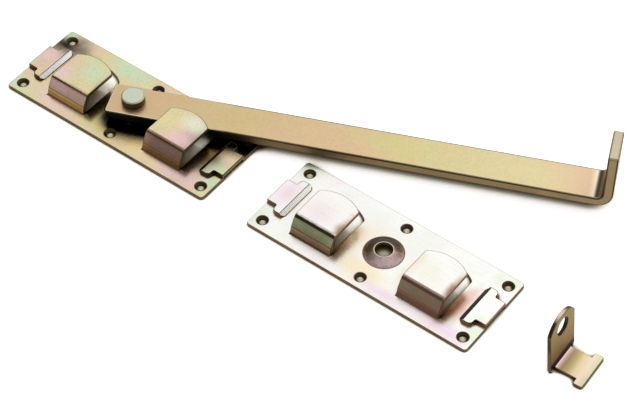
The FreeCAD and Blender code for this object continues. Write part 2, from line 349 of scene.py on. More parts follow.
@dataclass
class Film:
    """Nodes that every zinc finish starts from."""

    wiring: Wiring
    place: Node
    mapping: Node
    clouds: Node
    grain: Node

    def ramp(self, value: Socket, stops: Stops, interpolation: str = "EASE") -> Node:
        """Colours a value by stops, which may lie outside 0 to 1.

        Args:
            value: Value to colour.
            stops: Values and their colours, in rising order.
            interpolation: How the ramp runs from stop to stop.

        Returns:
            The ramp's node, with the colour and its share.
        """
        low, high = stops[0][0], stops[-1][0]
        share = self.wiring.add("ShaderNodeMapRange", {
            "Value": value, "From Min": low, "From Max": high})
        node = self.wiring.add("ShaderNodeValToRGB")
        node.color_ramp.interpolation = interpolation
        elements = node.color_ramp.elements
        elements[0].color = stops[0][1]
        elements[1].color = stops[-1][1]
        for spot, colour in stops[1:-1]:
            element = elements.new((spot - low) / (high - low))
            element.color = colour
        self.wiring.feed(node, "Fac", share)
        return node

    def laid(self, colour: Socket, value: Socket, stops: Stops) -> Socket:
        """Lays a ramp over a colour, by the share that each stop holds.

        Args:
            colour: Colour to lay the ramp over.
            value: Value that the ramp colours.
            stops: Values and their colours with shares; none leaves the colour as it is.

        Returns:
            The colour's socket.
        """
        if not stops:
            return colour
        node = self.ramp(value, stops, "LINEAR")
        return self.wiring.blend(node.outputs["Alpha"], colour, node.outputs["Color"])

    def stained(self, colour: Socket, stain_or_shadow: StainOrShadow) -> Socket:
        """Lays one patch, a tint of the film or a painted shadow, over a colour.

        Args:
            colour: Colour to lay it over.
            stain_or_shadow: The patch.

        Returns:
            The colour's socket.
        """
        wiring = self.wiring
        patch = wiring.add("ShaderNodeMapping", {
            "Vector": self.mapping,
            "Location": (stain_or_shadow.along * MM, stain_or_shadow.across * MM, 0.0),
            "Scale": (stain_or_shadow.length * MM, stain_or_shadow.width * MM, 1.0)}, vector_type="TEXTURE")
        away = wiring.add("ShaderNodeVectorMath", {0: patch}, operation="LENGTH")
        ragged = wiring.maths("MULTIPLY_ADD", self.clouds.outputs["Blotch"], stain_or_shadow.ragged,
                              away.outputs["Value"])
        share = wiring.maths("MULTIPLY", wiring.step(ragged, stain_or_shadow.outer, stain_or_shadow.inner),
                             stain_or_shadow.colour[3])
        return wiring.blend(share, colour, stain_or_shadow.colour)

    def normal(self) -> Node:
        """Gives the surface's own direction, split into X, Y and Z."""
        return self.wiring.add("ShaderNodeSeparateXYZ", {0: self.place.outputs["Normal"]})

    def spot(self, turned: bool = False) -> Node:
        """Gives the place on the piece, split into X, Y and Z."""
        source = self.mapping if turned else self.place.outputs["Object"]
        return self.wiring.add("ShaderNodeSeparateXYZ", {0: source})

    def worn(self, colour: Socket, fleck: float, streak: float) -> Socket:
        """Lays the mottle and the rolling streaks over a colour.

        Args:
            colour: Colour to lay them over.
            fleck: Strength of the mottle.
            streak: Strength of the streaks.

        Returns:
            The colour's socket.
        """
        wiring = self.wiring
        spots = wiring.maths("MULTIPLY_ADD", self.clouds.outputs["Mottle"], fleck, 1 - fleck / 2)
        lines = wiring.maths("MULTIPLY_ADD", self.grain.outputs["Streak"], streak, 1 - streak / 2)
        tone = wiring.add("ShaderNodeCombineColor")
        level = wiring.maths("MULTIPLY", spots, lines)
        for channel in range(3):
            wiring.feed(tone, channel, level)
        return wiring.blend(1.0, colour, tone.outputs[0], "MULTIPLY")


@dataclass(frozen=True)
class Zinc:
    """Yellow passivated zinc. Each kind of surface colours it in its own way."""

    name: str
    seed: float = 0.0
    turn: float = 0.0
    start: tuple[float, float, float] = (0.0, 0.0, 0.0)
    cloud_scale: float = 14.0
    roughness: float = 0.36
    relief: float = 0.12
    metallic: float = 1.0
    # Painted shade in narrow creases and joins, where close faces shut a point in.
    seam: Colour = (0.0, 0.0, 0.0, 0.0)
    seam_limits: Limits = Limits(0.0022, 0.22, 0.5)
    along: Stops = ()
    rise: Stops = ()
    # Painted shade: colours laid by how far a point is shut in, in corners and under other
    # pieces.
    grime: Stops = ((0.0, (0.05, 0.035, 0.02, 0.0)), (1.0, (0.02, 0.014, 0.01, 1.0)))
    grime_limits: Limits = Limits(0.009, 0.38, 0.86)
    shadow: Stops = ()
    shadow_limits: Limits = Limits(0.022, 0.06, 0.5, (-0.3, 0.7, 0.0))
    unevenness: float = 0.05
    relief_depth: float = 0.1 * MM
    streak_height: float = 0.6

    def material(self) -> bpy.types.Material:
        """Builds the finish.

        Returns:
            The material.
        """
        material = bpy.data.materials.new(self.name)
        material.use_nodes = True
        film = self.film(Wiring(material.node_tree))
        colour = self.colour(film)
        colour = film.laid(colour, film.spot(turned=True).outputs["X"], self.along)
        colour = film.laid(colour, film.spot().outputs["Z"], self.rise)
        # Painted shade in corners and under pieces, then painted shadow of the other pieces.
        shut = CORNER_SHADE.share(film.wiring, self.grime_limits)
        colour = film.laid(colour, shut, self.grime)
        if self.shadow:
            near = NEIGHBOUR_SHADE.share(film.wiring, self.shadow_limits)
            colour = film.laid(colour, near, self.shadow)
        # Painted shade in narrow creases and joins.
        if self.seam[3] > 0.0:
            seam = CORNER_SHADE.share(film.wiring, self.seam_limits)
            share = film.wiring.maths("MULTIPLY", seam, self.seam[3])
            colour = film.wiring.blend(share, colour, self.seam)
        self.shade(film, colour)
        return material

    def film(self, wiring: Wiring) -> Film:
        """Places the clouds and the grain in the finish's own axes.

        Args:
            wiring: Helper for the material's tree.

        Returns:
            The placed nodes.
        """
        place = wiring.add("ShaderNodeTexCoord")
        mapping = wiring.add("ShaderNodeMapping", {
            "Vector": place.outputs["Object"], "Location": self.start,
            "Rotation": Euler((0.0, 0.0, self.turn))}, vector_type="TEXTURE")
        clouds = IRIDESCENCE.place(wiring, Vector=mapping,
                                   Scale=self.cloud_scale, Seed=self.seed)
        grain = ROLLING_GRAIN.place(wiring, Vector=mapping)
        return Film(wiring, place, mapping, clouds, grain)

    def colour(self, film: Film) -> Socket:
        """Colour of the film."""
        raise NotImplementedError

    def shade(self, film: Film, colour: Socket) -> None:
        """Joins colour, roughness and grain to the shader.

        Args:
            film: Nodes to start from.
            colour: Base colour's socket.
        """
        wiring = film.wiring
        blotch, streak = film.clouds.outputs["Blotch"], film.grain.outputs["Streak"]
        shader = wiring.add("ShaderNodeBsdfPrincipled", {
            "Base Color": colour, "Metallic": self.metallic})
        uneven = wiring.maths("MULTIPLY_ADD", blotch, self.unevenness,
                              self.roughness - self.unevenness)
        rough = wiring.maths("MULTIPLY_ADD", streak, self.unevenness, uneven)
        wiring.feed(shader, "Roughness", rough)
        height = wiring.maths("ADD", wiring.maths("MULTIPLY", streak, self.streak_height),
                              wiring.maths("MULTIPLY", film.grain.outputs["Pit"],
                                           1.0 - self.streak_height))
        bump = wiring.add("ShaderNodeBump", {
            "Strength": self.relief, "Distance": self.relief_depth, "Height": height})
        wiring.feed(shader, "Normal", bump)
        wiring.add("ShaderNodeOutputMaterial", {"Surface": shader})


@dataclass(frozen=True)
class RolledZinc(Zinc):
    """Film on a rolled face: iridescent clouds where it lies flat, and painted shade that makes
    it golden brown upright.
    """

    clouds: Stops = ()
    # Painted shade: the colour that upright faces take in place of the film.
    standing: Colour = (0.3, 0.24, 0.12, 1.0)
    stains: tuple[StainOrShadow, ...] = ()
    fleck: float = 0.06
    streak: float = 0.08
    blotch_share: float = 0.35
    lying: tuple[float, float] = (0.2, 0.62)

    def colour(self, film: Film) -> Socket:
        """Colour of the film.

        Args:
            film: Nodes to start from.

        Returns:
            The colour's socket.
        """
        wiring = film.wiring
        cloud, blotch = film.clouds.outputs["Cloud"], film.clouds.outputs["Blotch"]
        broad = wiring.maths("MULTIPLY", cloud, 1.0 - self.blotch_share)
        mixed = wiring.maths("MULTIPLY_ADD", blotch, self.blotch_share, broad)
        colour = film.ramp(mixed, self.clouds).outputs["Color"]
        for stain_or_shadow in self.stains:
            colour = film.stained(colour, stain_or_shadow)
        # Upright faces are painted darker, as shade.
        lying = wiring.step(wiring.maths("ABSOLUTE", film.normal().outputs["Z"]), *self.lying)
        colour = wiring.blend(lying, self.standing, colour)
        return film.worn(colour, self.fleck, self.streak)


@dataclass(frozen=True)
class FoldedZinc(Zinc):
    """Film on a hook's folded front, with painted shade and painted reflection laid in bands from
    foot to crease.
    """

    # Painted shade and reflection by height: dark lines at the creases and the foot, lit and
    # shaded bands between.
    bands: Stops = ()
    waver: float = 0.12 * MM
    patch: Colour = (0.2, 0.15, 0.06, 0.35)
    fleck: float = 0.3
    streak: float = 0.2

    def colour(self, film: Film) -> Socket:
        """Colour of the painted bands of shade and reflection, by height above the plate's back.

        Args:
            film: Nodes to start from.

        Returns:
            The colour's socket.
        """
        wiring = film.wiring
        uneven = wiring.maths("MULTIPLY_ADD", film.clouds.outputs["Mottle"], self.waver,
                              film.spot().outputs["Z"])
        colour = film.ramp(uneven, self.bands, "LINEAR").outputs["Color"]
        share = wiring.maths("MULTIPLY", film.clouds.outputs["Blotch"], self.patch[3])
        colour = wiring.blend(share, colour, self.patch)
        return film.worn(colour, self.fleck, self.streak)


@dataclass(frozen=True)
class RaisedZinc(Zinc):
    """Film on a pressed slope, with painted light and shade by the side that the slope faces."""

    # Painted light and shade: colours by how far the slope faces the side given by far.
    ring: Stops = ()
    far: tuple[float, float, float] = (-0.6, 0.8, 0.0)
    fleck: float = 0.15
    streak: float = 0.1

    def colour(self, film: Film) -> Socket:
        """Painted light and shade of the slope, by the side that it faces.

        Args:
            film: Nodes to start from.

        Returns:
            The colour's socket.
        """
        wiring = film.wiring
        side = wiring.add("ShaderNodeVectorMath", {
            0: film.place.outputs["Normal"], 1: self.far}, operation="DOT_PRODUCT")
        colour = film.ramp(side.outputs["Value"], self.ring).outputs["Color"]
        return film.worn(colour, self.fleck, self.streak)


@dataclass(frozen=True)
class CutZinc(Zinc):
    """Film on a sheared edge: dull, scored across the sheet, and painted paler where it faces up,
    as light.
    """

    tone: Colour = (0.16, 0.11, 0.04, 1.0)
    dark: Colour = (0.06, 0.045, 0.02, 1.0)
    # Painted light: the colour laid on faces that look up.
    pale: Colour = (0.6, 0.55, 0.4, 1.0)
    score_scale: float = 1400.0
    score_squash: float = 0.12
    score_share: float = 0.5
    upward: tuple[float, float] = (0.35, 0.8)

    def colour(self, film: Film) -> Socket:
        """Colour of the sheared edge.

        Args:
            film: Nodes to start from.

        Returns:
            The colour's socket.
        """
        wiring = film.wiring
        squash = wiring.add("ShaderNodeMapping", {
            "Vector": film.place.outputs["Object"], "Scale": (1.0, 1.0, self.score_squash)})
        score = wiring.add("ShaderNodeTexNoise", {
            "Vector": squash, "Scale": self.score_scale})
        scored = wiring.maths("MULTIPLY", score.outputs["Fac"], self.score_share)
        patchy = wiring.maths("MULTIPLY_ADD", film.clouds.outputs["Blotch"],
                              1.0 - self.score_share, scored)
        colour = wiring.blend(patchy, self.tone, self.dark)
        # Faces that look up get the painted light.
        upward = wiring.step(film.normal().outputs["Z"], *self.upward)
        return wiring.blend(upward, colour, self.pale)


@dataclass(frozen=True)
class Dress:
    """The finishes of one piece, in the order of Surface."""

    finishes: tuple[Zinc, ...]

    def materials(self) -> list[bpy.types.Material]:
        """Builds the finishes."""
        return [finish.material() for finish in self.finishes]


def linked(name: str, data: bpy.types.ID) -> bpy.types.Object:
    """Makes an object of some data and puts it in the scene.

    Args:
        name: Name of the object.
        data: Mesh, lamp or camera that it shows.

    Returns:
        The new object.
    """
    made = bpy.data.objects.new(name, data)
    bpy.context.scene.collection.objects.link(made)
    return made


def plain_mesh(source: bpy.types.Object, name: str) -> bpy.types.Mesh:
    """Turns an object with its modifiers into a plain mesh.

    Args:
        source: Object to turn.
        name: Name of the mesh.

    Returns:
        The new mesh.
    """
    bpy.context.view_layer.update()
    graph = bpy.context.evaluated_depsgraph_get()
    mesh = bpy.data.meshes.new_from_object(source.evaluated_get(graph), depsgraph=graph)
    mesh.name = name
    return mesh


@dataclass
class Piece:
    """One steel piece: its solid with softened edges, told into kinds of surface."""

    node: str
    body: str
    dress: Dress
    rim_width: float = 0.28 * MM
    soft_width: float = 0.5 * MM
    merge_distance: float = 0.002 * MM
    stray: float = 0.6 * MM
    flat_angle: float = math.radians(0.6)
    sharp_angle: float = math.radians(28.0)
    rounding_steps: int = 2
    flat_weight: int = 90

    def surface_at(self, centre: Vector, normal: Vector) -> Surface:
        """Tells what kind of surface a face of the solid is."""
        return Surface.ROLLED

    def is_soft(self, edge: bmesh.types.BMEdge) -> bool:
        """Tells whether an edge is pressed soft and keeps its faces' finish."""
        return False

    def rim_share(self, edge: bmesh.types.BMEdge) -> float:
        """Tells how much of the full rim width an edge gets."""
        return 1.0

    def soften(self, rough: bpy.types.Object, mark: str, width: float, slot: int) -> None:
        """Rounds the edges that carry a mark.

        Args:
            rough: Object to soften.
            mark: Name of the edges' mark.
            width: Width of the rounding, in metres.
            slot: Material slot of the new faces, or -1 for that of their neighbours.
        """
        bevel = rough.modifiers.new(mark, "BEVEL")
        bevel.limit_method = "WEIGHT"
        bevel.edge_weight = mark
        bevel.width = width / MM
        bevel.segments = self.rounding_steps
        bevel.use_clamp_overlap = False
        bevel.loop_slide = False
        bevel.material = slot

    def merged(self) -> bpy.types.Mesh:
        """Copies the solid's mesh as one closed skin, in millimetres.

        Returns:
            The merged mesh.
        """
        skin = bmesh.new()
        skin.from_mesh(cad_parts[self.node].data)
        bmesh.ops.remove_doubles(skin, verts=skin.verts, dist=self.merge_distance)
        for face in skin.faces:
            face.material_index = int(self.surface_at(face.calc_center_median(), face.normal))
            face.smooth = True
        bmesh.ops.scale(skin, vec=Vector((1 / MM, 1 / MM, 1 / MM)), verts=skin.verts)
        if self.flat_angle > 0.0:
            bmesh.ops.dissolve_limit(skin, angle_limit=self.flat_angle, verts=skin.verts,
                                     edges=skin.edges, delimit={"MATERIAL"})
        marks = {name: skin.edges.layers.float.new(name) for name in ("rim", "soft")}
        for edge in skin.edges:
            if len(edge.link_faces) == 2 and edge.calc_face_angle() > self.sharp_angle:
                soft = self.is_soft(edge)
                edge[marks["soft" if soft else "rim"]] = 1.0 if soft else self.rim_share(edge)
        mesh = bpy.data.meshes.new(self.node + "_skin")
        skin.to_mesh(mesh)
        skin.free()
        return mesh

    def settle(self, mesh: bpy.types.Mesh, skin: bpy.types.Mesh) -> None:
        """Brings back onto the solid's skin what the rounding threw off it at crowded corners.

        Nothing is left outside the solid's box.

        Args:
            mesh: Rounded mesh, in millimetres.
            skin: Mesh it was made from.
        """
        tree = BVHTree.FromPolygons([corner.co for corner in skin.vertices],
                                    [tuple(face.vertices) for face in skin.polygons])
        lows, highs = ([pick(corner.co[axis] for corner in skin.vertices) for axis in range(3)]
                       for pick in (min, max))
        moved = 0
        for corner in mesh.vertices:
            spot, _, _, away = tree.find_nearest(corner.co)
            if away * MM > self.stray:
                corner.co = spot
                moved += 1
            corner.co = [min(max(value, low), high)
                         for value, low, high in zip(corner.co, lows, highs)]
        LOG.info("%s: %d corners settled", mesh.name, moved)

    def build(self) -> bpy.types.Object:
        """Makes the piece with rounded edges and puts it in the frame.

        Returns:
            The finished piece.
        """
        rough = linked(self.node + "_rough", self.merged())
        for material in self.dress.materials():
            rough.data.materials.append(material)
        self.soften(rough, "soft", self.soft_width, -1)
        self.soften(rough, "rim", self.rim_width, int(Surface.RIM))
        weighted = rough.modifiers.new("flats", "WEIGHTED_NORMAL")
        weighted.weight = self.flat_weight
        cut = rough.modifiers.new("triangles", "TRIANGULATE")
        cut.keep_custom_normals = True
        mesh = plain_mesh(rough, self.node + "_shell")
        self.settle(mesh, rough.data)
        mesh.transform(Matrix.Scale(MM, 4))
        piece = linked(self.node + "_shell", mesh)
        bpy.data.objects.remove(rough)
        self.place(piece)
        return piece

    def place(self, piece: bpy.types.Object) -> None:
        """Joins a finished piece to the frame in place of its solid.

        Args:
            piece: The finished piece.
        """
        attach(piece, self.body)
        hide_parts(self.node)
        LOG.info("%s: %d faces on %s", piece.name, len(piece.data.polygons), self.body)


@dataclass(frozen=True)
class CoinedRims:
    """Small beads that the press leaves round the screw holes of a plate."""

    radius: float = 3.62 * MM
    section: float = 0.13 * MM
    around: int = 40
    section_sides: int = 8

    def tree(self, material: bpy.types.Material) -> bpy.types.NodeTree:
        """Builds the node tree that sets one bead on each point.

        Args:
            material: Finish of the beads.

        Returns:
            The node tree.
        """
        tree = bpy.data.node_groups.new("coined_rims", "GeometryNodeTree")
        tree.interface.new_socket("Points", in_out="INPUT", socket_type="NodeSocketGeometry")
        radius = tree.interface.new_socket("Radius", in_out="INPUT",
                                           socket_type="NodeSocketFloat")
        radius.default_value = self.radius
        tree.interface.new_socket("Beads", in_out="OUTPUT", socket_type="NodeSocketGeometry")
        wiring = Wiring(tree)
        start, end = wiring.add("NodeGroupInput"), wiring.add("NodeGroupOutput")
        ring = wiring.add("GeometryNodeCurvePrimitiveCircle", {
            "Resolution": self.around, "Radius": start.outputs["Radius"]})
        profile = wiring.add("GeometryNodeCurvePrimitiveCircle", {
            "Resolution": self.section_sides, "Radius": self.section})
        bead = wiring.add("GeometryNodeCurveToMesh", {
            "Curve": ring, "Profile Curve": profile})
        last = wiring.add("GeometryNodeInstanceOnPoints", {
            "Points": start.outputs["Points"], "Instance": bead})
        for step, feeds in (("RealizeInstances", {}), ("SetMaterial", {"Material": material}),
                            ("SetShadeSmooth", {})):
            last = wiring.add("GeometryNode" + step, {"Geometry": last, **feeds})
        wiring.feed(end, "Beads", last)
        return tree

    def build(self, name: str, body: str, slot: str, spots: Sequence[Vector],
              material: bpy.types.Material) -> bpy.types.Object:
        """Makes the beads of one plate as a single mesh.

        Args:
            name: Name of the new piece.
            body: Body that it rides on.
            slot: Not used.
            spots: Middles of the beads.
            material: Finish of the beads.

        Returns:
            The finished piece.
        """
        mesh = bpy.data.meshes.new(name + "_points")
        mesh.from_pydata([tuple(spot) for spot in spots], [], [])
        seed = linked(name + "_points", mesh)
        maker = seed.modifiers.new("beads", "NODES")
        maker.node_group = self.tree(material)
        beads = linked(name, plain_mesh(seed, name))
        bpy.data.objects.remove(seed)
        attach(beads, body)
        return beads


@dataclass
class HookPlate(Piece):
    """Pressed plate with two hooks, two T pockets and a boss: both plates are this pressing."""

    rim_width: float = 0.5 * MM
    fine_rim: float = 0.56
    centre: Vector = field(default_factory=Vector)
    half_length: float = 75.0 * MM
    sheet: float = 2.3 * MM
    hook_centre: float = 36.65 * MM
    hook_half_width: float = 14.1 * MM
    hook_crease: float = -13.3 * MM
    boss_hole: float = 5.6 * MM
    boss_rim: float = 6.2 * MM
    boss_crown: float = 7.0 * MM
    boss_foot: float = 12.2 * MM
    sink_radius: float = 3.7 * MM
    pocket_back: float = 60.0 * MM
    boss_lean: tuple[float, float] = (0.5, 0.99)
    sink_lean: tuple[float, float] = (0.3, 0.95)
    chamfer_lean: tuple[float, float] = (0.5, 0.9)
    steep: float = 0.3
    inward: float = -0.5
    sideways: float = 0.8
    forward: float = -0.02
    upward: float = 0.6
    hook_back: float = 5.0 * MM
    slack: float = 0.1 * MM
    screw_places: tuple[tuple[float, float], ...] = (
        (-68.5, -22.0), (-68.5, 22.0), (0.0, -22.0), (0.0, 22.0), (68.5, -22.0), (68.5, 22.0))

    def surface_at(self, centre: Vector, normal: Vector) -> Surface:
        """Tells sheared, folded and pressed faces apart.

        Args:
            centre: Middle of the face, in the frame.
            normal: Its outward direction.

        Returns:
            The kind of surface.
        """
        spot = centre - self.centre
        from_hook = abs(abs(spot.x) - self.hook_centre)
        from_boss = math.hypot(spot.x, spot.y)
        if self.is_front(spot, normal, from_hook):
            return Surface.FRONT
        slope = (self.boss_rim < from_boss < self.boss_foot
                 and self.boss_lean[0] < normal.z < self.boss_lean[1])
        crown = self.boss_hole < from_boss < self.boss_crown and normal.z > self.boss_lean[0]
        if slope or crown:
            return Surface.BOSS
        in_sink = any(math.hypot(spot.x - x * MM, spot.y - y * MM) < self.sink_radius
                      for x, y in self.screw_places)
        if in_sink and self.sink_lean[0] < normal.z < self.sink_lean[1]:
            return Surface.SINK
        chamfer = self.chamfer_lean[0] < normal.z < self.chamfer_lean[1]
        if abs(spot.x) > self.pocket_back - self.slack and chamfer:
            inward = normal.x * math.copysign(1.0, spot.x) < self.inward
            return Surface.SLOPE if inward else Surface.RIM
        if abs(normal.z) > self.steep:
            return Surface.ROLLED
        beside = abs(from_hook - self.hook_half_width) < 4 * self.slack
        hook_side = abs(normal.x) > self.sideways and beside
        behind = spot.y > self.hook_back and normal.y > self.steep
        hook_back = behind and from_hook < self.hook_half_width
        end = abs(spot.x) > self.half_length - 2 * self.slack
        low = spot.z < self.sheet
        cut = low or end or from_boss < self.boss_hole or hook_side or hook_back
        return Surface.CUT if cut else Surface.ROLLED

    def is_front(self, spot: Vector, normal: Vector, from_hook: float) -> bool:
        """Tells whether a face belongs to a hook's folded front.

        Args:
            spot: Middle of the face from the plate's middle.
            normal: Its outward direction.
            from_hook: How far it lies beside the hook's middle.

        Returns:
            True on the outer side of the fold.
        """
        slack = self.slack / 10
        inside = from_hook < self.hook_half_width - slack and spot.y < self.hook_crease
        return inside and normal.y < self.forward and spot.z > self.sheet - slack

    def is_soft(self, edge: bmesh.types.BMEdge) -> bool:
        """Tells the pressed edges on top of the T pockets from the others.

        Args:
            edge: Edge between two faces.

        Returns:
            True between two faces that both look up.
        """
        low = min(face.normal.z for face in edge.link_faces)
        middle = (edge.verts[0].co + edge.verts[1].co) / 2 * MM - self.centre
        return low > self.upward and abs(middle.x) > self.pocket_back - 5 * self.slack

    def rim_share(self, edge: bmesh.types.BMEdge) -> float:
        """Rounds the tops of the hooks and T pockets more than the other edges.

        Args:
            edge: Edge between two faces, in millimetres.

        Returns:
            Share of the rim width, 0 to 1.
        """
        spot = (edge.verts[0].co + edge.verts[1].co) / 2 * MM - self.centre
        raised = spot.z > 2 * self.sheet and math.hypot(spot.x, spot.y) > self.boss_foot
        return 1.0 if raised else self.fine_rim

    def screw_centres(self) -> list[Vector]:
        """Where the six screw holes meet the front face."""
        return [self.centre + Vector((x * MM, y * MM, self.sheet)) for x, y in self.screw_places]

    def build(self) -> bpy.types.Object:
        """Makes the plate and the beads round its screw holes.

        Returns:
            The finished plate.
        """
        plate = super().build()
        bead = plate.data.materials[int(Surface.RIM)]
        CoinedRims().build(self.node + "_beads", self.body, self.node, self.screw_centres(), bead)
        return plate


@dataclass
class Lever(Piece):
    """Flat bar with a pivot hole near one end and the other end bent up as a foot tab."""

    rim_width: float = 0.5 * MM
    turn: float = LEVER_TURN
    facing: float = 0.5
    leg_top: float = 45.2 * MM
    hole_reach: float = 6.0 * MM

    def surface_at(self, centre: Vector, normal: Vector) -> Surface:
        """Tells the bar's narrow sides, tail end and hole from its wide faces.

        Args:
            centre: Middle of the face, in the frame.
            normal: Its outward direction.

        Returns:
            The kind of surface.
        """
        along = Vector((math.cos(self.turn), math.sin(self.turn), 0.0))
        across = Vector((-along.y, along.x, 0.0))
        end = along.dot(normal) < -self.facing and along.dot(centre) < 0.0
        side = abs(across.dot(normal)) > self.facing
        hole = math.hypot(centre.x, centre.y) < self.hole_reach and abs(normal.z) < self.facing
        leg_end = centre.z > self.leg_top and normal.z > self.facing
        return Surface.CUT if end or hole or side or leg_end else Surface.ROLLED


@dataclass
class PivotRivet(Piece):
    """Headed pin through the lever and the lever plate's boss."""

    rim_width: float = 0.15 * MM
    steep: float = 0.3

    def surface_at(self, centre: Vector, normal: Vector) -> Surface:
        """Tells the turned side of the head from its crown."""
        return Surface.CUT if abs(normal.z) < self.steep else Surface.ROLLED


@dataclass
class TongueBracket(Piece):
    """Small strip bent upright, with a T head on its tongue and a hole in its upright."""

    turn: float = BRACKET_TURN
    root: Vector = field(default_factory=Vector)
    sheet: float = 2.3 * MM
    side_lean: float = 0.25
    facing: float = 0.5
    slack: float = 0.1 * MM
    tongue_start: float = 3.0 * MM
    upright_start: float = 10.0 * MM

    def surface_at(self, centre: Vector, normal: Vector) -> Surface:
        """Tells the sheared outline from the sheet's two faces.

        Args:
            centre: Middle of the face, in the frame.
            normal: Its outward direction.

        Returns:
            The kind of surface.
        """
        across = Vector((-math.sin(self.turn), math.cos(self.turn), 0.0))
        along = Vector((across.y, -across.x, 0.0))
        spot = centre - self.root
        if abs(across.dot(normal)) > self.side_lean:
            return Surface.CUT
        if spot.z < self.sheet + self.slack and along.dot(spot) > self.tongue_start:
            return Surface.CUT if abs(normal.z) < self.facing else Surface.ROLLED
        top = abs(normal.z) > self.facing and spot.z > self.upright_start
        return Surface.CUT if top else Surface.ROLLED


@dataclass(frozen=True)
class Lamp:
    """A wide soft lamp aimed at the middle of the table."""

    name: str
    place: tuple[float, float, float]
    size: float
    power: float

    def build(self, target: Vector) -> bpy.types.Object:
        """Makes the lamp.

        Args:
            target: Point that the lamp faces.

        Returns:
            The lamp.
        """
        data = bpy.data.lights.new(self.name, "AREA")
        data.shape = "DISK"
        data.size = self.size
        data.energy = self.power
        lamp = linked(self.name, data)
        lamp.location = self.place
        lamp.rotation_euler = (target - lamp.location).to_track_quat("-Z", "Y").to_euler()
        return lamp


@dataclass(frozen=True)
class Glow:
    """Soft bright patch of sky: its heading and the cosines at which it starts and is full."""

    heading: tuple[float, float, float]
    low: float
    high: float

    def share(self, wiring: Wiring, place: Node) -> Socket:
        """Gives the patch's brightness in the sky.

        Args:
            wiring: Helper for the sky's tree.
            place: Texture coordinates of the sky.

        Returns:
            The brightness's socket, from 0 to 1.
        """
        lean = wiring.add("ShaderNodeVectorMath", {
            0: place.outputs["Generated"], 1: Vector(self.heading).normalized()},
            operation="DOT_PRODUCT")
        return wiring.step(lean.outputs["Value"], self.low, self.high)


